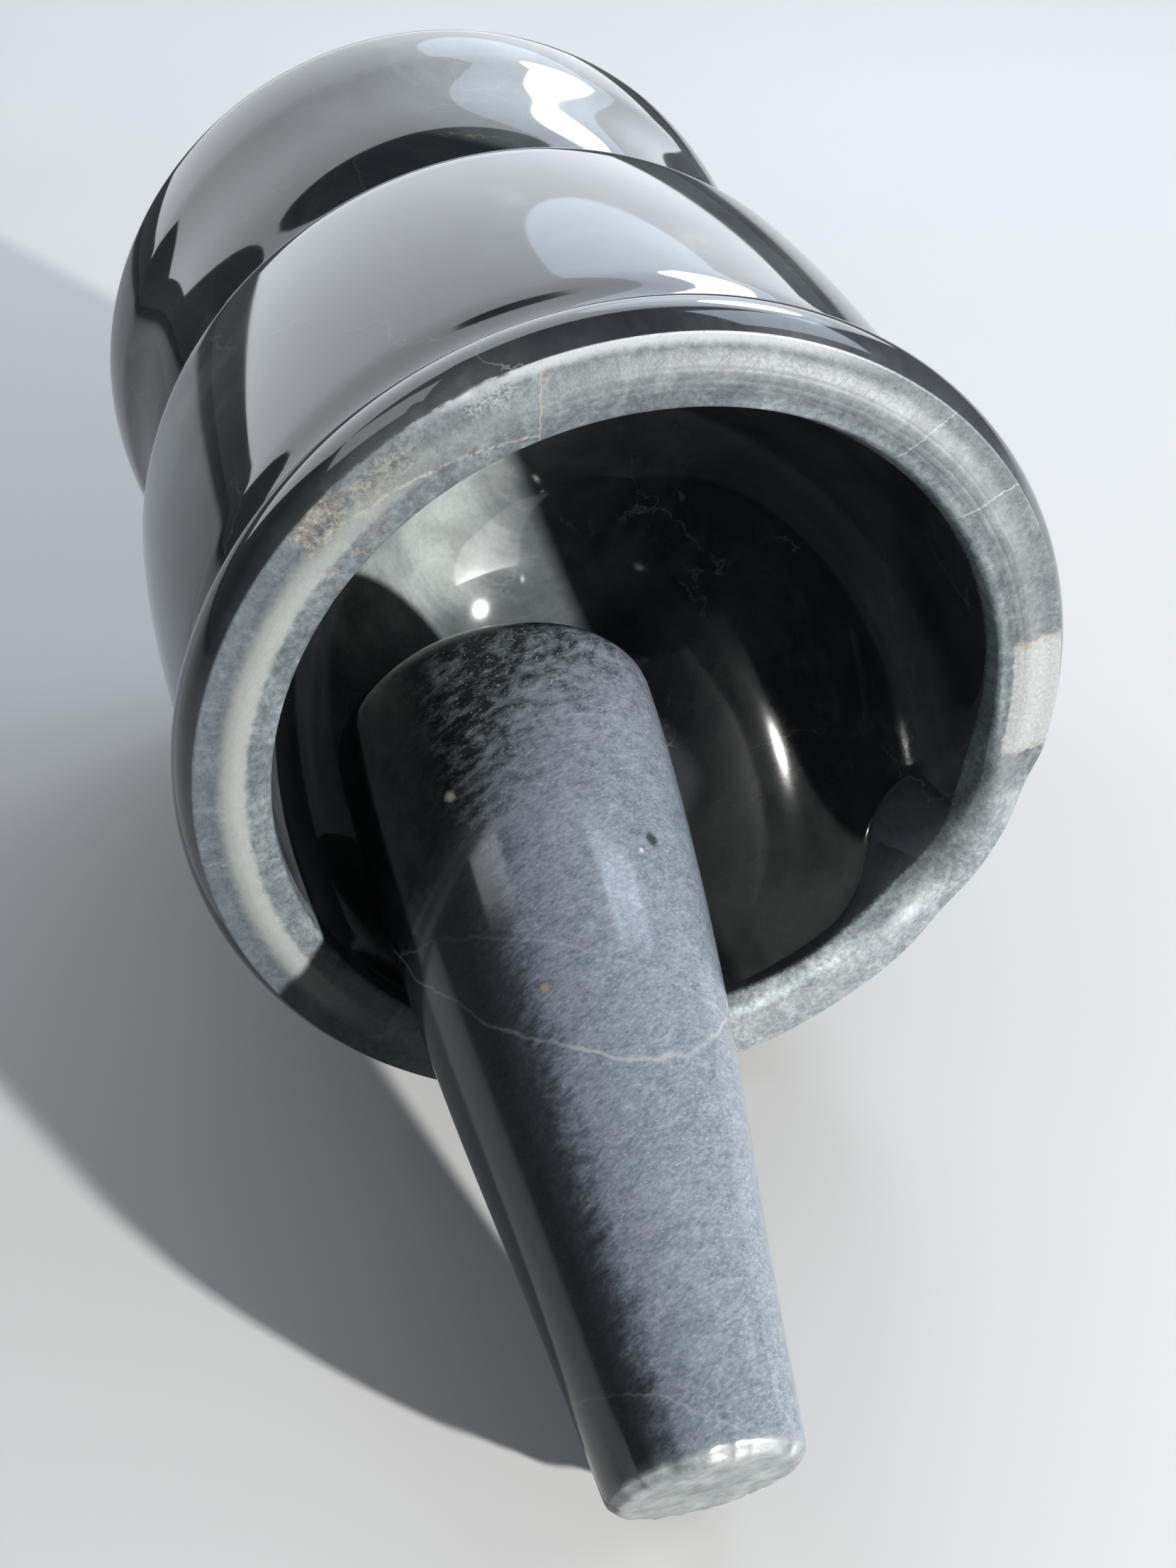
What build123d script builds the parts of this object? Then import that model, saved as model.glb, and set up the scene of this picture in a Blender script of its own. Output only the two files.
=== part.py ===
"""Stone mortar with a pour spout, lying on its side with its pestle in the mouth.

Frame: millimetres, +Z up from the surface that the pair lies on. The mortar's axis is level
along Y, with its mouth towards -Y and its foot towards +Y. The origin is under the middle of
the whole pair.
"""
from build123d import *
import math
import os

# ---- Mortar: depths run from the rim plane towards the foot, radii from its axis ----
lip_radius = 51.0            # lip and foot are turned to this same radius, so the axis lies level
mortar_height = 113.0
rim_outer_radius = 49.25     # crease between the honed rim face and the polished lip
ridge_radius = 45.2          # rounded ridge between the flat rim face and the inner bevel
ridge_height = 0.45
bevel_end_height = 0.27      # where the straight inner bevel meets the rounded ridge
bevel_end_radius = 43.6
ridge_end_radius = 46.6      # where the rounded ridge meets the flat rim face
mouth_radius = 41.0
mouth_edge_depth = 0.4
wall_straight_depth = 8.0
bowl_depth = 61.0
lip_widest_depth = 4.4
groove_depth = 12.8
groove_radius = 47.4
belly_start_depth = 19.0
belly_start_radius = 48.5
belly_depth = 39.0
belly_radius = 50.1
shoulder_depth = 56.0
shoulder_radius = 50.2
cove_upper = ((60.0, 48.7), (65.0, 44.0))   # depth, radius: rounded shoulder into the cove
waist_depth = 74.0
waist_radius = 41.0
cove_lower_depth = 85.0
cove_lower_radius = 44.6
flare_depth = 96.5
flare_radius = 47.8
foot_crease_depth = 101.7
foot_crease_radius = 49.5
foot_side_depth = 106.5
foot_side_radius = 50.5
belly_entry = (1, 0.12)      # directions in depth and radius
foot_entry = (0.94, 0.34)
base_edge_rounding = 2.0

# ---- Pour spout: a scoop across the rim, deepest at the bowl wall ----
spout_angle = 60.5           # from straight down, towards +X
spout_inner_section = 37.0   # radius of the deep cross-section
spout_outer_section = 51.5   # radius where the scoop runs out
spout_inner_depth = 18.0
spout_outer_depth = -0.2
spout_half_width = 17.0
spout_wing_height = 1.0      # how far the scoop's edges rise clear of the rim plane
spout_roof = 8.0
spout_bell = ((0.63, 0.36), (0.37, 0.76))   # share of the half width, share of the depth

# ---- Pestle: stations run from the pole of its head to its tip ----
pestle_length = 98.0
pestle_head_radius = 19.5
pestle_dome = 7.5
dome_shoulder = (0.30, 0.71)   # share of the dome's height, share of the head radius
pestle_tip_radius = 10.1
pestle_tip_chamfer = 1.2
pestle_tip_entry = (1, -0.11)
pestle_taper = ((0.30, 0.945), (0.53, 0.828), (0.77, 0.655))   # length share, radius share
pestle_tilt = 19.3           # tip below level
pestle_side = -11.8          # X of its axis
pestle_tip_reach = 61.7      # tip centre, in front of the rim plane
pestle_tip_drop = 40.2       # tip centre, below the mortar's axis


def along(angle):
    """Unit direction at this angle from straight down, turning towards +X."""
    return Vector(math.sin(math.radians(angle)), 0, -math.cos(math.radians(angle)))


# ---- Places of the two turning axes ----
tilt_sine = math.sin(math.radians(pestle_tilt))
tilt_cosine = math.cos(math.radians(pestle_tilt))
front_reach = pestle_tip_reach + (pestle_tip_radius - pestle_tip_chamfer) * tilt_sine
rim_y = (front_reach - mortar_height) / 2
mortar_centre = Vector(0, rim_y, lip_radius)
mortar_axis = Axis(mortar_centre, (0, 1, 0))
mortar_section = Plane(origin=mortar_centre, x_dir=(0, 1, 0), z_dir=(1, 0, 0))

pestle_direction = Vector(0, -tilt_cosine, -tilt_sine)
tip_centre = Vector(pestle_side, rim_y - pestle_tip_reach, lip_radius - pestle_tip_drop)
pestle_pole = tip_centre - pestle_direction * pestle_length
pestle_axis = Axis(pestle_pole, pestle_direction)
pestle_section = Plane(origin=pestle_pole, x_dir=pestle_direction, z_dir=(1, 0, 0))


# ---- Mortar ----
with BuildPart() as mortar:
    with BuildSketch(mortar_section):
        with BuildLine():
            bevel = Line((mouth_edge_depth, mouth_radius), (-bevel_end_height, bevel_end_radius))
            ridge = ThreePointArc(
                bevel @ 1, (-ridge_height, ridge_radius), (0, ridge_end_radius)
            )
            Line(ridge @ 1, (0, rim_outer_radius))
            lip = ThreePointArc(
                (0, rim_outer_radius),
                (lip_widest_depth, lip_radius),
                (2 * lip_widest_depth, rim_outer_radius),
            )
            groove = Spline(
                lip @ 1,
                (groove_depth, groove_radius),
                (belly_start_depth, belly_start_radius),
                tangents=(lip % 1, belly_entry),
            )
            belly = ThreePointArc(
                groove @ 1, (belly_depth, belly_radius), (shoulder_depth, shoulder_radius)
            )
            # rounded shoulder, then the cove between the belly and the foot
            cove = Spline(
                belly @ 1,
                *cove_upper,
                (waist_depth, waist_radius),
                (cove_lower_depth, cove_lower_radius),
                (flare_depth, flare_radius),
                (foot_crease_depth, foot_crease_radius),
                tangents=(belly % 1, foot_entry),
            )
            foot_side = ThreePointArc(
                cove @ 1,
                (foot_side_depth, foot_side_radius),
                (mortar_height - base_edge_rounding, lip_radius),
            )
            foot_edge = RadiusArc(
                foot_side @ 1, (mortar_height, lip_radius - base_edge_rounding), base_edge_rounding
            )
            Line(foot_edge @ 1, (mortar_height, 0))
            Line((mortar_height, 0), (bowl_depth, 0))
            # bowl: half-round bottom running into a nearly straight wall
            EllipticalCenterArc(
                (wall_straight_depth, 0),
                bowl_depth - wall_straight_depth,
                mouth_radius,
                start_angle=0,
                arc_size=90,
            )
            Line((wall_straight_depth, mouth_radius), (mouth_edge_depth, mouth_radius))
        make_face()
    revolve(axis=mortar_axis)

    # The scoop is lofted outwards between a deep section and one that clears the lip.
    spout_way = along(spout_angle)
    spout_cross = Vector(0, 1, 0).cross(spout_way)
    for radius, depth in (
        (spout_inner_section, spout_inner_depth),
        (spout_outer_section, spout_outer_depth),
    ):
        section = Plane(
            origin=mortar_centre + spout_way * radius, x_dir=spout_cross, z_dir=spout_way
        )
        rise = depth + spout_wing_height
        flank = [
            (width_share * spout_half_width, depth_share * rise - spout_wing_height)
            for width_share, depth_share in spout_bell
        ]
        with BuildSketch(section):
            with BuildLine():
                Spline(
                    (-spout_half_width, -spout_wing_height),
                    *[(-across, down) for across, down in flank],
                    (0, depth),
                    *reversed(flank),
                    (spout_half_width, -spout_wing_height),
                )
                Polyline(
                    (spout_half_width, -spout_wing_height),
                    (spout_half_width, -spout_roof),
                    (-spout_half_width, -spout_roof),
                    (-spout_half_width, -spout_wing_height),
                )
            make_face()
    loft(ruled=True, mode=Mode.SUBTRACT)

mortar.part.label = "mortar"

# ---- Pestle ----
with BuildPart() as pestle:
    with BuildSketch(pestle_section):
        with BuildLine():
            Spline(
                (0, 0),
                (dome_shoulder[0] * pestle_dome, dome_shoulder[1] * pestle_head_radius),
                (pestle_dome, pestle_head_radius),
                tangents=((0, 1), (1, 0)),
            )
            Spline(
                (pestle_dome, pestle_head_radius),
                *[(pestle_length * along_share, pestle_head_radius * radius_share)
                  for along_share, radius_share in pestle_taper],
                (pestle_length - pestle_tip_chamfer, pestle_tip_radius),
                tangents=((1, 0), pestle_tip_entry),
            )
            Polyline(
                (pestle_length - pestle_tip_chamfer, pestle_tip_radius),
                (pestle_length, pestle_tip_radius - pestle_tip_chamfer),
                (pestle_length, 0),
                (0, 0),
            )
        make_face()
    revolve(axis=pestle_axis)

pestle.part.label = "pestle"

os.makedirs("parts", exist_ok=True)
export_step(mortar.part, "parts/mortar.step")
export_step(pestle.part, "parts/pestle.step")
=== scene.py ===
"""A polished dark stone mortar with a pour spout, lying on its side with its pestle in the mouth.

Each piece is turned from one block of stone, so each is one closed mesh: rings of points around
its own axis, worked out in millimetres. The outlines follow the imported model. The spout has a shape
of its own, and wear, chips and turning marks are added. Azimuths on the mortar are in degrees from
straight down, turning towards +X. Depths run from its rim plane towards its foot.
"""
import math

import bpy
import numpy as np
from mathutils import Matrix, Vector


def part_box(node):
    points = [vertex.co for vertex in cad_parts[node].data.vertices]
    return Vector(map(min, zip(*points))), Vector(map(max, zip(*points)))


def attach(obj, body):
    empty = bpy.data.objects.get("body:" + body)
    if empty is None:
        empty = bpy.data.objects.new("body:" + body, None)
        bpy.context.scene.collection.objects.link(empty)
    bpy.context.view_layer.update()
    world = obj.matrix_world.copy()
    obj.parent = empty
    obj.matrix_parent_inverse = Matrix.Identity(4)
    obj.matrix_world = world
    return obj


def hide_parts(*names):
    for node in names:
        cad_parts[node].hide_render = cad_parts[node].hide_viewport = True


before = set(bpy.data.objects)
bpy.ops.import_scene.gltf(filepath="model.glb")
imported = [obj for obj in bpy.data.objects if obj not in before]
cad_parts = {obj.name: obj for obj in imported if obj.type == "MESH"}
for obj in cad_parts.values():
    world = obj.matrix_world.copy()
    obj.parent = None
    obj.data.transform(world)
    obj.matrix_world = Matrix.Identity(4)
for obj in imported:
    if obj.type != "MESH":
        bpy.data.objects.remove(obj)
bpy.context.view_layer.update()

rng = np.random.default_rng(7)
MM = 0.001

# ---- Mortar dimensions, mm ----
LIP_RADIUS = 51.0
HEIGHT = 113.0
RIM_OUTER_RADIUS = 49.25
RIDGE_RADIUS = 45.2
RIDGE_HEIGHT = 0.44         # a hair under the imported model, to stay inside it
MOUTH_RADIUS = 41.0
MOUTH_EDGE_DEPTH = 0.4
HONED_DEPTH = 3.5           # how far the honed stone of the rim reaches into the bowl
WALL_STRAIGHT_DEPTH = 8.0
BOWL_DEPTH = 61.0
LIP_WIDEST_DEPTH = 4.4
GROOVE = (12.8, 47.4)
BELLY_START = (19.0, 48.5)
BELLY = (39.0, 50.1)
SHOULDER = (56.0, 50.2)
COVE = ((60.0, 48.7), (65.0, 44.0), (74.0, 41.0), (85.0, 44.6), (96.5, 47.8))
FOOT_CREASE = (101.7, 49.5)
FOOT_SIDE = (106.5, 50.5)
BASE_ROUNDING = 2.0
LIP_BULGE = LIP_RADIUS - RIM_OUTER_RADIUS
LIP_ARC_RADIUS = (LIP_WIDEST_DEPTH**2 + LIP_BULGE**2) / (2 * LIP_BULGE)
LIP_CENTRE = LIP_RADIUS - LIP_ARC_RADIUS

# ---- Wear, mm ----
WORN_WIDER = 2.0             # how far wear moves the mouth's edge outwards
WORN_SHALLOWER = 1.7         # how much less deep the honed stone reaches there
OUTSIDE_INSET = 0.06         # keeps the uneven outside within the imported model

# ---- Pour spout ----
SPOUT_AZIMUTH = 60.5
SPOUT_DEPTH = 13.0          # below the rim plane, at the bowl wall
SPOUT_SPREAD = 13.2         # degrees either side where the scoop has mostly run out
SPOUT_STEEPNESS = 2.7        # below the spout's middle
SPOUT_STEEPNESS_ABOVE = 2.3
SPOUT_SPREAD_ABOVE = SPOUT_SPREAD * 1.08
MOUTH_FLARE = 7.4            # how far the spout pushes the mouth's edge out
MOUTH_FLARE_SPREAD = 17.0    # degrees

# ---- Pestle dimensions, mm ----
PESTLE_LENGTH = 98.0
HEAD_RADIUS = 19.5
DOME = 7.5
TIP_RADIUS = 10.1
TIP_CHAMFER = 1.2
TAPER = ((0.30, 0.945), (0.53, 0.828), (0.77, 0.655))
PESTLE_TILT = math.radians(19.3)

# ---- Where both axes lie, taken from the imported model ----
mortar_low, mortar_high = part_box("mortar")
pestle_low, pestle_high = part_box("pestle")
RIM_Y = mortar_high.y / MM - HEIGHT
AXIS_Z = (mortar_low.z + mortar_high.z) / 2 / MM
tip_face_radius = TIP_RADIUS - TIP_CHAMFER
tilt_sin, tilt_cos = math.sin(PESTLE_TILT), math.cos(PESTLE_TILT)
pestle_along = np.array((0.0, -tilt_cos, -tilt_sin))
pestle_side = np.array((1.0, 0.0, 0.0))
pestle_up = np.array((0.0, -tilt_sin, tilt_cos))
tip_centre = np.array((
    (pestle_low.x + pestle_high.x) / 2 / MM,
    pestle_low.y / MM + tip_face_radius * tilt_sin,
    pestle_low.z / MM + TIP_RADIUS * tilt_cos - TIP_CHAMFER * tilt_sin,
))
pestle_pole = tip_centre - pestle_along * PESTLE_LENGTH


# ---- Outlines ----
def evenly(curve, count):
    """count points at equal spacing along a polyline."""
    curve = np.asarray(curve, float)
    length = np.r_[0, np.cumsum(np.linalg.norm(np.diff(curve, axis=0), axis=1))]
    at = np.linspace(0, length[-1], count)
    return np.stack([np.interp(at, length, curve[:, k]) for k in (0, 1)], axis=1)


def arc(start, through, end, count):
    """count points on the circular arc through three points."""
    (ax, ay), (bx, by), (cx, cy) = start, through, end
    d = 2 * (ax * (by - cy) + bx * (cy - ay) + cx * (ay - by))
    a2, b2, c2 = ax * ax + ay * ay, bx * bx + by * by, cx * cx + cy * cy
    ux = (a2 * (by - cy) + b2 * (cy - ay) + c2 * (ay - by)) / d
    uy = (a2 * (cx - bx) + b2 * (ax - cx) + c2 * (bx - ax)) / d
    angles = np.unwrap([math.atan2(y - uy, x - ux) for x, y in (start, through, end)])
    turn = np.linspace(angles[0], angles[2], count)
    radius = math.hypot(ax - ux, ay - uy)
    return np.stack([ux + radius * np.cos(turn), uy + radius * np.sin(turn)], axis=1)


def spline(points, leaving, arriving, count):
    """count points along a cubic spline with these end directions."""
    p = np.array(points, float)
    h = np.linalg.norm(np.diff(p, axis=0), axis=1)
    n = len(p)
    system, right = np.eye(n), np.zeros((n, 2))
    right[0] = np.array(leaving) / np.linalg.norm(leaving)
    right[-1] = np.array(arriving) / np.linalg.norm(arriving)
    for i in range(1, n - 1):
        system[i, i - 1:i + 2] = h[i], 2 * (h[i - 1] + h[i]), h[i - 1]
        right[i] = 3 * (h[i] * (p[i] - p[i - 1]) / h[i - 1] + h[i - 1] * (p[i + 1] - p[i]) / h[i])
    slope = np.linalg.solve(system, right)
    at = np.r_[0, np.cumsum(h)]
    t = np.linspace(0, at[-1], 40 * n)
    k = np.clip(np.searchsorted(at, t, "right") - 1, 0, n - 2)
    u, w = ((t - at[k]) / h[k])[:, None], h[k][:, None]
    curve = (
        (2 * u**3 - 3 * u**2 + 1) * p[k] + (u**3 - 2 * u**2 + u) * w * slope[k]
        + (3 * u**2 - 2 * u**3) * p[k + 1] + (u**3 - u**2) * w * slope[k + 1]
    )
    return evenly(curve, count)


def soft_step(value, low, high):
    t = np.clip((value - low) / (high - low), 0, 1)
    return t * t * (3 - 2 * t)


def turn_gap(azimuth, centre):
    """Signed degrees from centre to azimuth, the short way round."""
    return (azimuth - centre + 180) % 360 - 180


def hump(azimuth, centre, spread):
    return np.exp(-(turn_gap(azimuth, centre) / spread) ** 2)


# ---- Mesh of rings ----
def ringed_mesh(name, points, first_pole, last_pole, fields):
    """A closed mesh from points[row, around], closed by a pole at each end."""
    rows, around = points.shape[:2]
    verts = np.concatenate([points.reshape(-1, 3), [first_pole, last_pole]]) * MM
    index = np.arange(rows * around).reshape(rows, around)
    after = np.roll(index, -1, axis=1)
    quads = np.stack([index[:-1], index[1:], after[1:], after[:-1]], axis=2).reshape(-1, 4)
    first, last = rows * around, rows * around + 1
    caps = [(first, a, b) for a, b in zip(index[0], after[0])]
    caps += [(last, b, a) for a, b in zip(index[-1], after[-1])]
    faces = quads.tolist() + [tuple(int(v) for v in cap) for cap in caps]
    mesh = bpy.data.meshes.new(name)
    mesh.from_pydata(verts.tolist(), [], faces)
    for field, (values, at_first, at_last) in fields.items():
        layer = mesh.attributes.new(field, "FLOAT", "POINT")
        layer.data.foreach_set("value", np.r_[values.ravel(), at_first, at_last].astype(np.float32))
    mesh.shade_smooth()
    piece = bpy.data.objects.new(name, mesh)
    bpy.context.scene.collection.objects.link(piece)
    return piece


def soften(depth, radius, row, reach, passes):
    """Rounds the corner at a row by averaging along the outline."""
    low, high = row - reach, row + reach + 1
    for values in (depth, radius):
        for _ in range(passes):
            values[low:high] = (
                values[low - 1:high - 1] + 2 * values[low:high] + values[low + 1:high + 1]
            ) / 4


# ---- Mortar ----
def uneven_azimuths(count):
    """Azimuths that crowd together at the spout and at the chipped part of the rim."""
    fine = np.linspace(-180, 180, 3601)
    density = 1 + 1.3 * hump(fine, SPOUT_AZIMUTH, 26) + 1.5 * hump(fine, -150, 18)
    total = np.r_[0, np.cumsum((density[1:] + density[:-1]) / 2)]
    return np.interp(np.arange(count) / count * total[-1], total, fine)


def spout_scoop(azimuth):
    """How deep the scoop is: 1 at the middle of the spout, 0 away from it."""
    gap = turn_gap(azimuth, SPOUT_AZIMUTH)
    spread = np.where(gap > 0, SPOUT_SPREAD_ABOVE, SPOUT_SPREAD)
    steepness = np.where(gap > 0, SPOUT_STEEPNESS_ABOVE, SPOUT_STEEPNESS)
    return np.exp(-np.abs(gap / spread) ** steepness)


def rim_relief(radius):
    """Depth of the plain rim face: flat outside, a rounded ridge, then the inner bevel."""
    inward = np.clip((RIDGE_RADIUS - radius) / (RIDGE_RADIUS - MOUTH_RADIUS), 0, 1)
    outward = np.clip((radius - RIDGE_RADIUS) / 2.6, 0, 1)
    return (
        -RIDGE_HEIGHT
        + (MOUTH_EDGE_DEPTH + RIDGE_HEIGHT) * inward**1.5
        + RIDGE_HEIGHT * soft_step(outward, 0, 1)
    )


def rim_face_depth(radius, crease_depth):
    """Depth of the rim face where it sags towards the dips in the outer crease."""
    sag = np.clip((radius - 43) / (RIM_OUTER_RADIUS - 43), 0, 1) ** 2
    return rim_relief(radius) + crease_depth * sag


def bowl_wall(honed_edge):
    """Depth and radius of rows from near the bowl's pole out to the start of the honed stone."""
    quarter = np.linspace(0, math.pi / 2, 200)
    bowl_span = BOWL_DEPTH - WALL_STRAIGHT_DEPTH
    wall_depth = np.r_[WALL_STRAIGHT_DEPTH + bowl_span * np.cos(quarter), 0]
    wall_radius = np.r_[MOUTH_RADIUS * np.sin(quarter), MOUTH_RADIUS]
    wall_length = np.r_[0, np.cumsum(np.hypot(np.diff(wall_depth), np.diff(wall_radius)))]
    edge_length = np.interp(-honed_edge, -wall_depth, wall_length)
    share = np.r_[np.linspace(0.012, 0.92, 62), np.linspace(0.925, 1, 20)]
    reach = share[:, None] * edge_length[None, :]
    return np.interp(reach, wall_length, wall_depth), np.interp(reach, wall_length, wall_radius)


def lip_rows(crease_depth):
    """Depth and radius of rows from the outer crease over the lip's widest point."""
    start = np.arcsin((crease_depth - LIP_WIDEST_DEPTH) / LIP_ARC_RADIUS)
    end = math.asin(LIP_WIDEST_DEPTH / LIP_ARC_RADIUS)
    turn = start + (end - start) * np.linspace(0, 1, 25)[1:, None]
    return LIP_WIDEST_DEPTH + LIP_ARC_RADIUS * np.sin(turn), LIP_CENTRE + LIP_ARC_RADIUS * np.cos(turn)


def back_outline():
    """Depth and radius along the groove, belly, cove, foot and base."""
    end = math.asin(LIP_WIDEST_DEPTH / LIP_ARC_RADIUS)
    lip_end = (2 * LIP_WIDEST_DEPTH, RIM_OUTER_RADIUS)
    lip_way = (math.cos(end), -math.sin(end))
    belly = arc(BELLY_START, BELLY, SHOULDER, 26)
    foot_side_end = (HEIGHT - BASE_ROUNDING, LIP_RADIUS)
    flat_radius = LIP_RADIUS - BASE_ROUNDING
    rounding = np.linspace(0, math.pi / 2, 8)
    base_edge = np.stack([
        HEIGHT - BASE_ROUNDING + BASE_ROUNDING * np.sin(rounding),
        flat_radius + BASE_ROUNDING * np.cos(rounding),
    ], axis=1)
    base = np.stack([np.full(12, HEIGHT), np.linspace(flat_radius, 1.0, 12)], axis=1)
    return np.concatenate([part[1:] for part in (
        spline((lip_end, GROOVE, BELLY_START), lip_way, (1, 0.12), 16),
        belly,
        spline((SHOULDER, *COVE, FOOT_CREASE), belly[-1] - belly[-2], (0.94, 0.34), 44),
        arc(FOOT_CREASE, FOOT_SIDE, foot_side_end, 12),
        base_edge,
        base,
    )])


def turning_marks(azimuth, radius, mouth_edge):
    """Depth of the marks cut round the rim, deeper along its upper right side."""
    marks = sum(
        bite * np.exp(-((radius - at) / 0.14) ** 2)
        for at, bite in ((43.7, 0.8), (44.5, 0.6), (45.7, 0.4))
    )
    cut = 0.015 + 0.05 * np.maximum(hump(azimuth, 175, 40), hump(azimuth, 128, 30))
    return marks * cut * soft_step(radius - mouth_edge, 0.3, 1.2)


def polish_wobble(depth, turn):
    """Hand polishing leaves the outside and the bowl very slightly uneven."""
    return (
        0.014 * np.sin(3 * turn + depth / 9) + 0.008 * np.sin(7 * turn - depth / 6 + 1.3)
        + 0.005 * np.sin(11 * turn + depth / 4 + 0.4)
    )


def chipped(depth, radius, azimuth, near):
    """Adds small chips broken out of the outer crease and the mouth's edge."""
    for chip_azimuth, chip_radius, size, bite in (
        (-158.6, 49.4, 1.0, 0.42), (-160.6, 49.2, 0.7, 0.3), (-156.4, 49.5, 0.6, 0.22),
        (-152.5, 49.3, 0.8, 0.18), (-137.5, 48.4, 0.9, 0.2), (-139.5, 49.2, 0.6, 0.2),
        (-70.0, 41.3, 0.7, 0.3), (-60.0, 41.4, 0.8, 0.3), (-128.0, 41.3, 0.5, 0.2),
    ):
        around = np.radians(turn_gap(azimuth, chip_azimuth)) * 49
        away = np.hypot(around, (radius - chip_radius) * 1.2)
        depth = depth + np.where(near, bite * np.exp(-(away / size) ** 2), 0)
    return depth


def make_mortar():
    azimuth = uneven_azimuths(320)
    gap = turn_gap(azimuth, SPOUT_AZIMUTH)
    scoop = spout_scoop(azimuth)
    # the mouth's edge is worn rounder along its right side, above and below the spout
    worn_edge = np.maximum(hump(azimuth, 122, 42), hump(azimuth, 32, 20))
    honed_edge = HONED_DEPTH + (SPOUT_DEPTH - HONED_DEPTH) * scoop - WORN_SHALLOWER * worn_edge
    # the scoop reaches the outer crease as two shallow dips with a slight beak between them
    crease_depth = 2.6 * hump(azimuth, 74, 7) + 1.9 * hump(azimuth, 52, 7) + 0.5 * hump(azimuth, 62, 6)
    crease_radius = LIP_CENTRE + np.sqrt(LIP_ARC_RADIUS**2 - (crease_depth - LIP_WIDEST_DEPTH) ** 2)

    wall_depth, wall_radius = bowl_wall(honed_edge)
    depth, radius = [wall_depth], [wall_radius]
    edge_row = len(wall_depth) - 1
    edge_radius = wall_radius[-1]

    # chamfer up to the mouth's edge; near the spout it widens until it takes up the whole rim
    flare = np.exp(-np.abs(gap / MOUTH_FLARE_SPREAD) ** 2.1)
    mouth_edge = MOUTH_RADIUS + MOUTH_FLARE * flare + WORN_WIDER * worn_edge
    weight = soft_step(mouth_edge, MOUTH_RADIUS + 0.3, MOUTH_RADIUS + 6)
    chamfer = np.linspace(0, 1, 36)[1:, None]
    chamfer_end = rim_face_depth(mouth_edge, crease_depth)
    steepness = 1.1 + 1.15 * weight + 1.2 * worn_edge
    depth.append(chamfer_end + (honed_edge - chamfer_end) * (1 - chamfer) ** steepness)
    radius.append(edge_radius + (mouth_edge - edge_radius) * chamfer)
    corner_row = edge_row + len(chamfer)

    # rim face, out to the crease
    face = np.linspace(0, 1, 56)[1:, None]
    radius.append(mouth_edge + (crease_radius - mouth_edge) * face)
    depth.append(rim_face_depth(radius[-1], crease_depth))
    crease_row = corner_row + len(face)

    lip_depth, lip_radius = lip_rows(crease_depth)
    outline = back_outline()
    around = np.ones(len(azimuth))
    depth = np.concatenate([*depth, lip_depth, outline[:, :1] * around])
    radius = np.concatenate([*radius, lip_radius, outline[:, 1:] * around])
    soften(depth, radius, edge_row, 5, 8)
    soften(depth, radius, corner_row, 15, 24)
    soften(depth, radius, crease_row, 1, 1)

    row = np.arange(len(depth))[:, None]
    turn = np.radians(azimuth)[None, :]
    on_rim = (row > corner_row) & (row < crease_row)
    depth = depth + np.where(on_rim, turning_marks(azimuth, radius, mouth_edge), 0)
    uneven = polish_wobble(depth, turn) * soft_step(radius, 5, 20)
    radius = radius + uneven - OUTSIDE_INSET * (row > crease_row)
    depth = chipped(depth, radius, azimuth, (row > edge_row) & (row < crease_row + 8))

    x = radius * np.sin(turn)
    z = AXIS_Z - radius * np.cos(turn)
    points = np.stack([x, RIM_Y + depth, z], axis=2)
    points[..., 1] = np.maximum(points[..., 1], mortar_low.y / MM)

    # honed stone: millimetres inside its border, negative on polished stone
    honed = np.full(depth.shape, -1.0)
    honed[:edge_row + 1] = np.maximum(honed_edge - depth[:edge_row + 1], -1.0)
    chamfer_length = np.hypot(honed_edge - chamfer_end, mouth_edge - edge_radius)
    polished = 0.40 * chamfer_length * scoop**0.6
    honed[edge_row:corner_row] = np.r_[[0], chamfer[:-1, 0]][:, None] * chamfer_length - polished
    honed[corner_row:crease_row] = 3.0
    honed[crease_row] = 0.0
    return ringed_mesh(
        "mortar_stone", points,
        (0, RIM_Y + BOWL_DEPTH, AXIS_Z), (0, RIM_Y + HEIGHT, AXIS_Z),
        {"honed": (honed, -1, -1)},
    )


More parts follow.
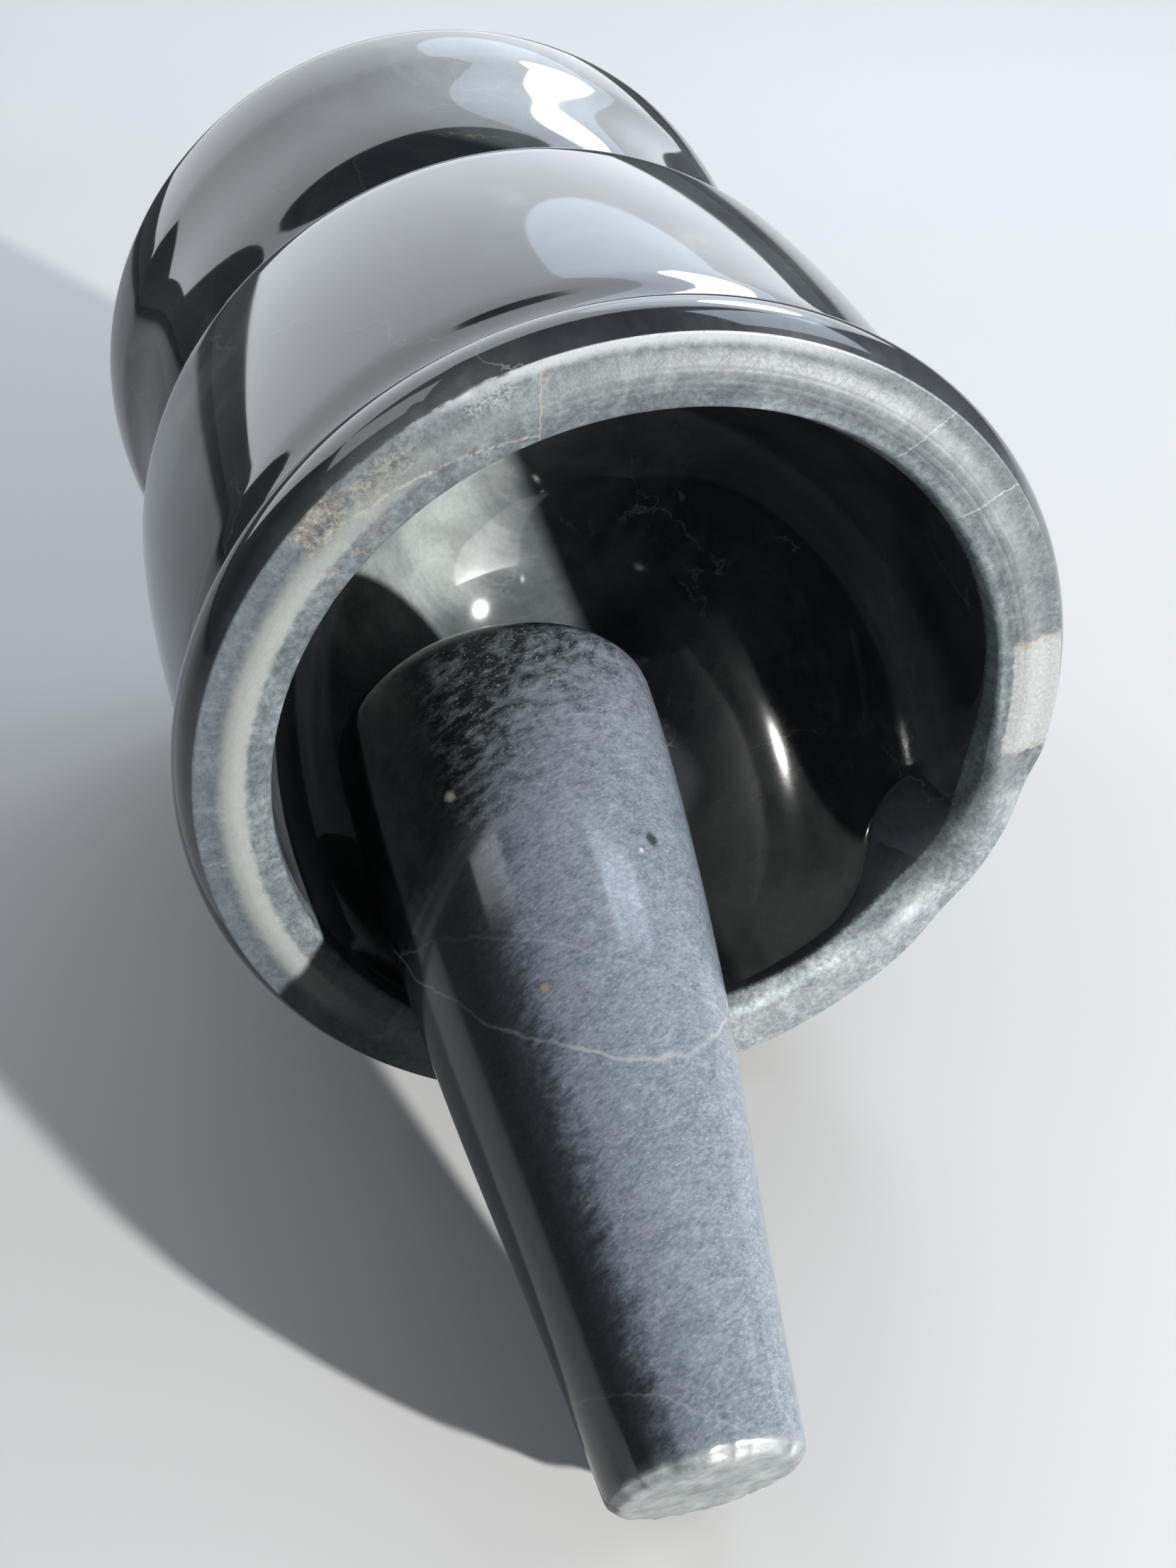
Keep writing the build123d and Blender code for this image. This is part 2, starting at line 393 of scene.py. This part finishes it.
# ---- Pestle ----
def make_pestle():
    turn = np.linspace(0, 2 * math.pi, 220, endpoint=False)[None, :]
    bend = np.linspace(0.03, 1, 26)
    fine = 300
    dome_points = ((0, 0), (0.3 * DOME, 0.71 * HEAD_RADIUS), (DOME, HEAD_RADIUS))
    dome = spline(dome_points, (0, 1), (1, 0), fine)
    dome = np.stack(
        [np.interp(bend * (fine - 1), np.arange(fine), dome[:, k]) for k in (0, 1)], axis=1
    )
    stations = [(PESTLE_LENGTH * s, HEAD_RADIUS * r) for s, r in TAPER]
    shaft = spline(
        ((DOME, HEAD_RADIUS), *stations, (PESTLE_LENGTH - TIP_CHAMFER, TIP_RADIUS)),
        (1, 0), (1, -0.11), 76,
    )
    chamfer = np.linspace(
        (PESTLE_LENGTH - TIP_CHAMFER, TIP_RADIUS), (PESTLE_LENGTH, tip_face_radius), 8
    )
    face = np.linspace((PESTLE_LENGTH, tip_face_radius), (PESTLE_LENGTH, 0.4), 14)
    outline = np.concatenate([dome, shaft[1:], chamfer[1:], face[1:]])
    along = outline[:, :1] * np.ones_like(turn)
    radius = outline[:, 1:] * np.ones_like(turn)
    corner = len(dome) + len(shaft) - 2
    soften(along, radius, corner, 1, 1)
    soften(along, radius, corner + 7, 1, 1)

    # the tip's edge is worn and chipped
    row = np.arange(len(outline))[:, None]
    near_edge = np.exp(-((row - corner - 3.5) / 5.0) ** 2)
    bites = np.zeros_like(turn)
    for _ in range(26):
        at = rng.uniform(0, 2 * math.pi)
        width = rng.uniform(0.03, 0.12)
        bite = rng.uniform(0.05, 0.32)
        gap = (turn - at + math.pi) % (2 * math.pi) - math.pi
        bites = np.maximum(bites, bite * np.exp(-np.abs(gap / width) ** 3))
    radius = radius - bites * near_edge
    along = along - 0.6 * bites * near_edge
    # hand polishing leaves it slightly uneven
    radius = (
        radius - 0.02 + 0.015 * np.sin(3 * turn + along / 11) + 0.01 * np.sin(5 * turn - along / 7)
    )

    points = (
        pestle_pole + along[..., None] * pestle_along
        + (radius * np.sin(turn))[..., None] * pestle_side
        + (radius * np.cos(turn))[..., None] * pestle_up
    )
    honed = soft_step(row, corner - 1, corner + 2) * np.ones_like(turn)
    return ringed_mesh(
        "pestle_stone", points, pestle_pole, pestle_pole + pestle_along * PESTLE_LENGTH,
        {"honed": (honed, 0, 1)},
    )


mortar = make_mortar()
pestle = make_pestle()


# ---- Materials ----
class Stone:
    """A node material under construction, with short calls for the nodes that stone needs."""

    def __init__(self, name):
        self.material = bpy.data.materials.new(name)
        self.material.use_nodes = True
        self.tree = self.material.node_tree
        self.shader = self.tree.nodes["Principled BSDF"]

    def add(self, kind, inputs=(), **settings):
        node = self.tree.nodes.new("ShaderNode" + kind)
        for key, value in settings.items():
            setattr(node, key, value)
        for key, value in dict(inputs).items():
            self.feed(node.inputs[key], value)
        return node

    def feed(self, socket, value):
        if isinstance(value, bpy.types.NodeSocket):
            self.tree.links.new(value, socket)
        else:
            socket.default_value = value

    def math(self, operation, *values):
        return self.add("Math", enumerate(values), operation=operation).outputs[0]

    def times(self, a, b):
        return self.math("MULTIPLY", a, b)

    def plus(self, a, b):
        return self.math("ADD", a, b)

    def minus(self, a, b):
        return self.math("SUBTRACT", a, b)

    def shaken(self, value, noise, reach):
        """value pushed up and down by a noise, by at most half of reach."""
        return self.plus(value, self.times(self.minus(noise, 0.5), reach))

    def measure(self, operation, *vectors):
        """A number worked out from vectors: a length, a distance or a dot product."""
        return self.add("VectorMath", enumerate(vectors), operation=operation).outputs["Value"]

    def joined(self, **parts):
        return self.add("CombineXYZ", parts).outputs[0]

    def field(self, name):
        """A value stored on the mesh."""
        return self.add("Attribute", attribute_name=name).outputs["Fac"]

    def noise(self, vector, scale, detail=4.0, roughness=0.5, distortion=0.0):
        node = self.add("TexNoise", {
            "Vector": vector, "Scale": scale, "Detail": detail,
            "Roughness": roughness, "Distortion": distortion,
        })
        return node.outputs["Fac"]

    def ramp(self, value, *stops):
        """Colours by value; each stop is (place, grey or colour)."""
        node = self.add("ValToRGB", {"Fac": value})
        band = node.color_ramp
        while len(band.elements) < len(stops):
            band.elements.new(0.5)
        for element, (place, colour) in zip(band.elements, stops):
            element.position = place
            element.color = (colour,) * 3 + (1,) if isinstance(colour, float) else (*colour, 1)
        return node.outputs["Color"]

    def span(self, value, low, high, to_low=0.0, to_high=1.0):
        node = self.add("MapRange", {
            "Value": value, "From Min": low, "From Max": high, "To Min": to_low, "To Max": to_high,
        }, interpolation_type="SMOOTHSTEP")
        return node.outputs["Result"]

    def mix(self, factor, a, b, blend="MIX"):
        node = self.add("Mix", data_type="RGBA", blend_type=blend)
        for socket, value in ((node.inputs[0], factor), (node.inputs[6], a), (node.inputs[7], b)):
            self.feed(socket, (*value, 1) if isinstance(value, tuple) else value)
        return node.outputs[2]

    def tinted(self, colour, mask, strength, tint):
        """colour with a tint laid over it where the mask is 1."""
        return self.mix(self.times(mask, strength), colour, tint)

    def between(self, value, rise_from, rise_to, fall_from, fall_to):
        """1 between two soft borders, 0 outside them."""
        return self.times(
            self.span(value, rise_from, rise_to), self.span(value, fall_from, fall_to, 1.0, 0.0)
        )

    def thread(self, value, centre, width):
        """1 on a thin line where value crosses centre, fading to 0 over width."""
        off = self.math("ABSOLUTE", self.minus(value, centre))
        return self.span(off, 0.0, width, 1.0, 0.0)

    def bump(self, height):
        inputs = {"Height": height, "Distance": 0.00006, "Strength": 0.6}
        return self.add("Bump", inputs).outputs["Normal"]

    def finish(self, colour, roughness, height):
        self.feed(self.shader.inputs["Base Color"], colour)
        self.feed(self.shader.inputs["Roughness"], roughness)
        self.feed(self.shader.inputs["Normal"], self.bump(height))
        self.shader.inputs["IOR"].default_value = 1.56


def about_axis(stone, origin, along, side, up):
    """Distances along three directions from an origin, all in millimetres."""
    coords = stone.add("TexCoord").outputs["Object"]
    origin = tuple(float(v) * MM for v in origin)
    moved = stone.add("VectorMath", {0: coords, 1: origin}, operation="SUBTRACT").outputs[0]
    local = stone.add("VectorMath", {0: moved, "Scale": 1 / MM}, operation="SCALE").outputs[0]
    ways = [tuple(float(v) for v in way) for way in (along, side, up)]
    return local, *[stone.measure("DOT_PRODUCT", local, way) for way in ways]


def spot(stone, local, place, inner, outer, edge):
    """1 near a place, fading out over a ragged edge."""
    away = stone.measure("DISTANCE", local, tuple(float(v) for v in place))
    return stone.span(stone.shaken(away, edge, outer), inner, outer, 1.0, 0.0)


class MortarStone(Stone):
    """The mortar's stone, with its position and the noises that its patterns share."""

    def __init__(self, name):
        super().__init__(name)
        self.local, self.depth, self.x, self.z = about_axis(
            self, (0, RIM_Y, AXIS_Z), (0, 1, 0), (1, 0, 0), (0, 0, 1)
        )
        self.radius = self.measure("LENGTH", self.joined(X=self.x, Z=self.z))
        self.azimuth = self.math("DEGREES", self.math("ARCTAN2", self.x, self.times(self.z, -1.0)))
        self.waver = self.noise(self.local, 0.9, 4.0, 0.6)
        self.fine = self.noise(self.local, 2.6, 6.0, 0.65)
        self.grit = self.noise(self.local, 1.3, 8.0, 0.75)
        self.bent_radius = self.shaken(self.radius, self.waver, 0.8)

    def seam(self, at_azimuth, slant, width, wander=1.0):
        """A vein across the rim at this azimuth, drifting by slant degrees for each mm outwards."""
        centre = self.plus(at_azimuth, self.times(self.minus(self.radius, 45.0), slant))
        off = self.times(self.minus(self.azimuth, centre), math.radians(45.0))
        return self.thread(self.shaken(off, self.waver, wander * 2), 0.0, width)

    def sector(self, low, high, soft):
        """1 between two azimuths, with a ragged border."""
        bent = self.shaken(self.azimuth, self.waver, 5.0)
        return self.between(bent, low - soft, low + soft, high - soft, high + soft)

    def band(self, low, high, soft):
        """1 between two radii, with a ragged border."""
        bent = self.shaken(self.radius, self.waver, 1.4)
        return self.between(bent, low - soft, low + soft, high - soft, high + soft)

    def patch(self, azimuths, radii):
        return self.times(self.sector(*azimuths), self.band(*radii))


def polished_ground(stone):
    """Near-black clouds with a painted pool of light deep in the bowl's upper left, where the key
    lights it, crossed by thin veins.
    """
    local = stone.local
    cloud = stone.noise(local, 0.030, 9.0, 0.62, 0.8)
    # painted light: the stone is painted paler where the key light falls deep in the bowl
    away = stone.measure("DISTANCE", local, (-20.0, 50.0, 12.0))
    cloud = stone.plus(cloud, stone.span(away, 16.0, 38.0, 0.26, 0.0))
    ground = stone.ramp(
        cloud, (0.30, (0.008, 0.009, 0.011)), (0.46, (0.017, 0.019, 0.022)),
        (0.62, (0.036, 0.041, 0.043)), (0.80, (0.112, 0.122, 0.119)),
    )
    soft = stone.noise(local, 0.11, 5.0, 0.6, 1.0)
    ground = stone.mix(0.5, ground, stone.ramp(soft, (0.3, 0.55), (0.7, 1.4)), "MULTIPLY")
    ground = stone.mix(0.4, ground, stone.ramp(stone.grit, (0.3, 0.6), (0.7, 1.2)), "MULTIPLY")

    # the veins are wandering planes through the block, broken up along their length
    drift = stone.noise(local, 0.045, 6.0, 0.6)
    broken = stone.noise(local, 0.07, 3.0)
    for way, offset, width, strength, tint in (
        ((0.42, 0.50, 0.75), 34.0, 0.30, 0.30, (0.2, 0.21, 0.21)),
        ((-0.55, 0.75, -0.35), 30.0, 0.26, 0.22, (0.19, 0.2, 0.2)),
        ((0.85, 0.35, -0.40), 21.0, 0.24, 0.22, (0.17, 0.18, 0.18)),
        ((-0.30, 0.25, 0.92), -22.0, 0.22, 0.3, (0.2, 0.14, 0.09)),
        ((0.70, 0.20, 0.68), -24.0, 0.26, 0.22, (0.18, 0.19, 0.19)),
        ((0.15, 0.95, 0.25), 88.0, 0.26, 0.25, (0.2, 0.15, 0.1)),
        ((-0.75, 0.60, 0.30), 72.0, 0.22, 0.2, (0.19, 0.2, 0.2)),
    ):
        plane = stone.shaken(stone.measure("DOT_PRODUCT", local, way), drift, 30.0)
        vein = stone.times(stone.thread(plane, offset, width), stone.span(broken, 0.42, 0.58))
        ground = stone.tinted(ground, vein, strength, tint)
    return ground


def scratches(stone):
    """Fine slanting scratches left by honing."""
    across = stone.plus(stone.times(stone.x, 0.80), stone.times(stone.z, 0.60))
    down = stone.minus(stone.times(stone.z, 0.80), stone.times(stone.x, 0.60))
    combed = stone.joined(X=stone.times(across, 0.35), Y=stone.times(down, 5.0), Z=stone.depth)
    return stone.span(stone.noise(combed, 1.0, 3.0, 0.6), 0.62, 0.72)


def honed_face(stone, scratch_line):
    """Greyer than the polished stone, speckled and scratched, with a painted sheen that makes it paler
    along the lower right.
    """
    wear_and_painted_light = stone.ramp(
        stone.noise(stone.local, 0.22, 7.0, 0.7), (0.34, (0.025, 0.031, 0.035)),
        (0.5, (0.036, 0.043, 0.047)), (0.66, (0.053, 0.062, 0.065)),
    )
    wear_and_painted_light = stone.mix(0.8, wear_and_painted_light, stone.ramp(stone.grit, (0.38, 0.6), (0.62, 1.4)), "MULTIPLY")
    wear_and_painted_light = stone.mix(0.5, wear_and_painted_light, stone.ramp(stone.waver, (0.36, 0.7), (0.64, 1.35)), "MULTIPLY")
    # painted sheen: the honed stone is painted paler along the lower right, where it catches more light
    painted_lower_right_sheen = stone.between(stone.azimuth, -40.0, 5.0, 62.0, 84.0)
    wear_and_painted_light = stone.mix(painted_lower_right_sheen, wear_and_painted_light, (2.15, 2.06, 2.0), "MULTIPLY")
    return stone.tinted(wear_and_painted_light, scratch_line, 0.35, (0.11, 0.117, 0.118))


def wear_and_light_bands(stone, wear_and_painted_light):
    """Bands round the rim: a paler ridge, partly wear and partly a painted highlight, with painted
    light and shade, and a painted sheen along the top.
    """
    # the ridge is paler than the flat face outside it: a little all round from wear, and with a painted
    # highlight, most of all on the left
    ridge = stone.between(stone.bent_radius, 43.4, 44.2, 45.6, 47.4)
    left = stone.between(stone.azimuth, -160.0, -120.0, -62.0, -44.0)
    ridge_wear_and_highlight = stone.times(ridge, stone.plus(stone.times(left, 0.6), 0.15))
    wear_and_painted_light = stone.mix(ridge_wear_and_highlight, wear_and_painted_light, (0.112, 0.118, 0.114))
    # painted light: the stone next to the mouth's edge is painted paler on the right
    right = stone.between(stone.azimuth, 0.0, 20.0, 160.0, 176.0)
    inner = stone.times(right, stone.span(stone.bent_radius, 41.8, 43.6, 1.0, 0.0))
    wear_and_painted_light = stone.mix(inner, wear_and_painted_light, (1.9, 1.9, 1.85), "MULTIPLY")
    # painted shade: the flat face is painted darker on the left; painted sheen: it is painted pale
    # along the outer crease at the very top
    outer = stone.span(stone.bent_radius, 46.0, 48.0, 0.0, 0.4)
    wear_and_painted_light = stone.mix(stone.times(outer, left), wear_and_painted_light, (0.028, 0.033, 0.040))
    painted_crest_sheen = stone.times(
        stone.span(stone.z, 41.0, 47.5), stone.span(stone.bent_radius, 47.6, 48.8, 0.0, 0.85)
    )
    return stone.mix(painted_crest_sheen, wear_and_painted_light, (0.15, 0.158, 0.168))


def pale_block(stone, wear_and_painted_light):
    """A pale block of stone in the rim above the spout, outlined in tan."""
    block = stone.patch((81.5, 100.5, 1.0), (43.4, 60.0, 0.3))
    tone = stone.ramp(stone.fine, (0.3, (0.086, 0.093, 0.095)), (0.7, (0.132, 0.139, 0.138)))
    wear_and_painted_light = stone.mix(block, wear_and_painted_light, tone)
    outline = stone.times(stone.thread(block, 0.5, 0.42), stone.span(stone.grit, 0.45, 0.6))
    return stone.tinted(wear_and_painted_light, outline, 0.6, (0.13, 0.085, 0.05))


def upper_left_patches(stone, wear_and_painted_light):
    """Crystalline patches on the upper left of the rim, with a crack and rust-coloured threads."""
    crystals = stone.patch((-138.5, -132.0, 1.5), (46.0, 49.4, 0.6))
    crystal_tone = stone.ramp(
        stone.grit, (0.40, (0.018, 0.019, 0.018)), (0.5, (0.052, 0.052, 0.046)),
        (0.62, (0.13, 0.123, 0.10)),
    )
    wear_and_painted_light = stone.tinted(wear_and_painted_light, crystals, 0.7, crystal_tone)
    cream = stone.patch((-149.0, -140.0, 2.0), (45.6, 48.2, 0.7))
    cream = stone.times(cream, stone.span(stone.grit, 0.42, 0.6))
    wear_and_painted_light = stone.tinted(wear_and_painted_light, cream, 0.6, (0.105, 0.098, 0.076))

    slanting = stone.minus(stone.bent_radius, stone.times(stone.plus(stone.azimuth, 163.0), 0.15))
    edge_line = stone.times(stone.sector(-164.0, -133.0, 2.0), stone.thread(slanting, 42.1, 0.3))
    edge_line = stone.times(edge_line, stone.span(stone.grit, 0.4, 0.58))
    wear_and_painted_light = stone.tinted(wear_and_painted_light, edge_line, 0.8, (0.12, 0.116, 0.095))

    crack = stone.times(stone.sector(-165.0, -134.0, 3.0), stone.thread(stone.radius, 49.2, 0.3))
    crack = stone.times(crack, stone.span(stone.waver, 0.42, 0.55))
    wear_and_painted_light = stone.tinted(wear_and_painted_light, crack, 0.85, (0.02, 0.015, 0.011))

    whitish = stone.patch((-163.0, -157.0, 1.5), (46.5, 49.0, 0.8))
    whitish = stone.times(whitish, stone.span(stone.fine, 0.4, 0.6))
    wear_and_painted_light = stone.tinted(wear_and_painted_light, whitish, 0.7, (0.105, 0.112, 0.118))

    threads = stone.thread(stone.noise(stone.local, 0.2, 4.0, 0.6, 1.0), 0.5, 0.008)
    rust = stone.times(stone.sector(-142.0, -130.0, 2.0), threads)
    return stone.tinted(wear_and_painted_light, rust, 0.5, (0.13, 0.07, 0.035))


def rim_veins(stone, wear_and_painted_light):
    """Veins that cross the rim, and one brown speck."""
    for strength, vein, colour in (
        (0.7, stone.seam(-165.1, -0.375, 0.14, 0.4), (0.125, 0.106, 0.08)),
        (0.7, stone.seam(141.0, -0.36, 0.14, 0.5), (0.13, 0.137, 0.137)),
        (0.75, stone.seam(126.1, -0.21, 0.18, 0.6), (0.135, 0.142, 0.142)),
        (0.4, stone.seam(110.0, 0.4, 0.14), (0.1, 0.107, 0.107)),
        (0.5, stone.seam(-58.0, 0.6, 0.2), (0.1, 0.07, 0.048)),
        (0.35, stone.seam(-84.0, -0.3, 0.1), (0.12, 0.127, 0.127)),
    ):
        wear_and_painted_light = stone.tinted(wear_and_painted_light, vein, strength, colour)
    speck_turn = math.radians(-166.7)
    speck_radius = 47.2
    place = (speck_radius * math.sin(speck_turn), 0.0, -speck_radius * math.cos(speck_turn))
    return stone.mix(spot(stone, stone.local, place, 0.1, 0.35, stone.fine), wear_and_painted_light, (0.1, 0.066, 0.042))


def mortar_material():
    stone = MortarStone("mortar_stone")
    fine = stone.fine
    honed = stone.span(stone.shaken(stone.field("honed"), fine, 0.5), -0.12, 0.35)
    scratch_line = scratches(stone)
    wear_and_painted_light = honed_face(stone, scratch_line)
    for layer in (wear_and_light_bands, pale_block, upper_left_patches, rim_veins):
        wear_and_painted_light = layer(stone, wear_and_painted_light)
    colour = stone.mix(honed, polished_ground(stone), wear_and_painted_light)

    smear = stone.noise(stone.local, 0.06, 3.0)
    polish = stone.span(smear, 0.3, 0.7, 0.035, 0.065)
    roughness = stone.mix(honed, polish, stone.span(fine, 0.3, 0.7, 0.42, 0.55))
    tooth = stone.plus(fine, stone.times(scratch_line, 0.6))
    height = stone.times(tooth, stone.plus(stone.times(honed, 0.995), 0.005))
    stone.feed(stone.shader.inputs["Specular IOR Level"], stone.span(honed, 0.0, 1.0, 0.5, 0.22))
    stone.finish(colour, roughness, height)
    return stone.material


def pestle_material():
    stone = Stone("pestle_stone")
    local, along, side, up = about_axis(stone, pestle_pole, pestle_along, pestle_side, pestle_up)
    honed = stone.field("honed")
    # flecks are drawn out across the pestle, on a slight slant
    slanted = stone.plus(along, stone.times(side, 0.3))
    stretched = stone.joined(X=stone.times(slanted, 1.9), Y=side, Z=up)
    fleck = stone.noise(stretched, 0.42, 9.0, 0.72, 0.2)
    grain = stone.noise(stretched, 1.5, 6.0, 0.7)
    fine = stone.noise(local, 2.6, 6.0, 0.65)
    cloud = stone.noise(local, 0.05, 5.0, 0.6, 0.4)
    clot = stone.noise(local, 0.16, 4.0, 0.6, 0.6)

    # black ground shows at the head and fades into an even grey-blue down the shaft
    leaning = stone.plus(along, stone.times(side, 0.9))
    level = stone.plus(fleck, stone.span(leaning, 4.0, 32.0, -0.055, 0.09))
    level = stone.shaken(stone.shaken(level, cloud, 0.30), clot, 0.22)
    colour = stone.ramp(
        level, (0.40, (0.007, 0.008, 0.01)), (0.48, (0.026, 0.031, 0.034)),
        (0.58, (0.055, 0.063, 0.072)), (0.74, (0.085, 0.095, 0.105)),
    )
    even = stone.ramp(
        stone.plus(stone.times(fleck, 0.5), stone.times(grain, 0.5)),
        (0.36, (0.052, 0.062, 0.079)), (0.5, (0.076, 0.089, 0.108)), (0.66, (0.108, 0.122, 0.139)),
    )
    colour = stone.mix(stone.span(leaning, 12.0, 36.0, 0.0, 0.85), colour, even)
    colour = stone.mix(0.5, colour, stone.ramp(grain, (0.32, 0.65), (0.68, 1.3)), "MULTIPLY")
    glints = stone.span(stone.noise(stretched, 2.3, 2.0, 0.5), 0.62, 0.71)
    colour = stone.tinted(colour, glints, 0.6, (0.14, 0.155, 0.165))

    # painted shade: its left side, away from the key light, is painted near-black, with a ragged border
    turned = stone.math("DEGREES", stone.math("ARCTAN2", side, up))
    turned = stone.shaken(stone.shaken(turned, cloud, 16.0), fleck, 34.0)
    painted_left_shade = stone.ramp(stone.span(turned, -36.0, -16.0), (0.0, 0.22), (1.0, 1.0))
    colour = stone.mix(1.0, colour, painted_left_shade, "MULTIPLY")

    # pale veins right round the shaft: station, leans, width, strength
    waver = stone.noise(local, 0.12, 4.0, 0.6)
    for start, lean_side, lean_up, width, strength in (
        (45.0, 0.49, 0.2, 0.35, 0.3), (39.3, 0.29, 1.34, 0.5, 0.6), (93.0, 0.5, 0.1, 0.25, 0.35),
    ):
        lean = stone.plus(stone.times(side, lean_side), stone.times(up, lean_up))
        plane = stone.shaken(stone.minus(along, stone.plus(start, lean)), waver, 5.0)
        vein = stone.times(stone.thread(plane, 0.0, width), stone.span(cloud, 0.35, 0.55, 0.3, 1.0))
        colour = stone.tinted(colour, vein, strength, (0.17, 0.18, 0.18))

    # single mineral spots: station, angle from the top, size, colour
    taper_stations = (0.08, *[share for share, _ in TAPER])
    taper_radii = (1, *[share for _, share in TAPER])
    for station, angle, size, tint in (
        (25.6, -33, 0.9, (0.2, 0.19, 0.165)), (50.4, -20, 0.75, (0.12, 0.105, 0.07)),
        (34.6, 35, 1.2, (0.018, 0.02, 0.022)), (36.3, 28.7, 0.45, (0.2, 0.2, 0.2)),
    ):
        turn = math.radians(angle)
        way = pestle_side * math.sin(turn) + pestle_up * math.cos(turn)
        reach = HEAD_RADIUS * np.interp(station / PESTLE_LENGTH, taper_stations, taper_radii)
        place = pestle_along * station + way * reach
        colour = stone.mix(spot(stone, local, place, 0.3 * size, size, fine), colour, tint)

    tip_colour = stone.ramp(
        stone.noise(local, 0.35, 7.0, 0.7), (0.35, (0.045, 0.052, 0.055)), (0.65, (0.115, 0.125, 0.125))
    )
    colour = stone.mix(honed, colour, tip_colour)
    roughness = stone.mix(honed, stone.span(cloud, 0.3, 0.7, 0.10, 0.17), (0.45, 0.45, 0.45))
    height = stone.times(fine, stone.plus(stone.times(honed, 0.92), 0.08))
    stone.finish(colour, roughness, height)
    return stone.material


mortar.data.materials.append(mortar_material())
pestle.data.materials.append(pestle_material())
for piece, body, slot in ((mortar, "mortar", "mortar_stone"), (pestle, "pestle", "pestle_stone")):
    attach(piece, body)
    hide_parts(body)


# ---- Floor, lights and camera ----
def make_floor():
    stone = Stone("floor_paint")
    coords = stone.add("TexCoord").outputs["Object"]
    tone = stone.ramp(stone.noise(coords, 3.0, 3.0), (0.3, 0.36), (0.7, 0.385))
    stone.feed(stone.shader.inputs["Base Color"], tone)
    stone.shader.inputs["Roughness"].default_value = 0.7
    mesh = bpy.data.meshes.new("floor")
    half = 4.0
    corners = [(-half, -half, 0), (half, -half, 0), (half, half, 0), (-half, half, 0)]
    mesh.from_pydata(corners, [], [(0, 1, 2, 3)])
    mesh.materials.append(stone.material)
    floor = bpy.data.objects.new("floor", mesh)
    bpy.context.scene.collection.objects.link(floor)


def soft_box(name, towards, distance, width, height, radiance, colour=(1, 1, 1), shape="RECTANGLE"):
    """An area light that shines at the mortar's rim from this direction."""
    data = bpy.data.lights.new(name, "AREA")
    data.shape = shape
    data.size, data.size_y = width, height
    area = width * height * (math.pi / 4 if shape == "ELLIPSE" else 1)
    data.energy = radiance * math.pi * area
    data.color = colour
    light = bpy.data.objects.new(name, data)
    way = np.array(towards, float) / np.linalg.norm(towards)
    target = np.array((0.0, RIM_Y, AXIS_Z)) * MM
    light.location = target + way * distance
    light.rotation_euler = (
        math.acos(way[2]), 0, math.atan2(way[1], way[0]) + math.pi / 2
    )
    bpy.context.scene.collection.objects.link(light)


make_floor()
soft_box("key", (0.55, -0.81, 0.18), 0.9, 0.026, 0.026, 19500.0, (1.0, 0.985, 0.96))
soft_box("back", (0.0, 0.86, 0.52), 0.9, 1.8, 0.74, 2.6, (0.9, 0.95, 1.0))
soft_box("left", (-0.596, 0.241, 0.766), 0.8, 0.30, 0.30, 2.4, (0.9, 0.95, 1.0))
soft_box("right", (0.62, 0.25, 0.743), 0.85, 0.40, 0.40, 4.2, (0.72, 0.85, 1.0))
soft_box("glow", (0.50, 0.68, 0.54), 0.85, 0.24, 0.18, 9.0, shape="ELLIPSE")
soft_box("halo", (0.42, 0.72, 0.56), 0.82, 0.56, 0.36, 1.5, (0.62, 0.8, 1.0), shape="ELLIPSE")

world = bpy.data.worlds.new("studio")
world.use_nodes = True
world.node_tree.nodes["Background"].inputs["Color"].default_value = (0.82, 0.9, 1.0, 1)
world.node_tree.nodes["Background"].inputs["Strength"].default_value = 0.16
bpy.context.scene.world = world

camera_data = bpy.data.cameras.new("camera")
camera_data.lens = 41.66
camera_data.sensor_width = 36.0
camera = bpy.data.objects.new("camera", camera_data)
camera.location = np.array((-49.5, RIM_Y - 155.4, AXIS_Z + 114.8)) * MM
pitch_down, turn_right = 35.85, 15.34
camera.rotation_euler = (math.radians(90 - pitch_down), 0, math.radians(-turn_right))
bpy.context.scene.collection.objects.link(camera)
bpy.context.scene.camera = camera
bpy.context.scene.view_settings.view_transform = "Standard"
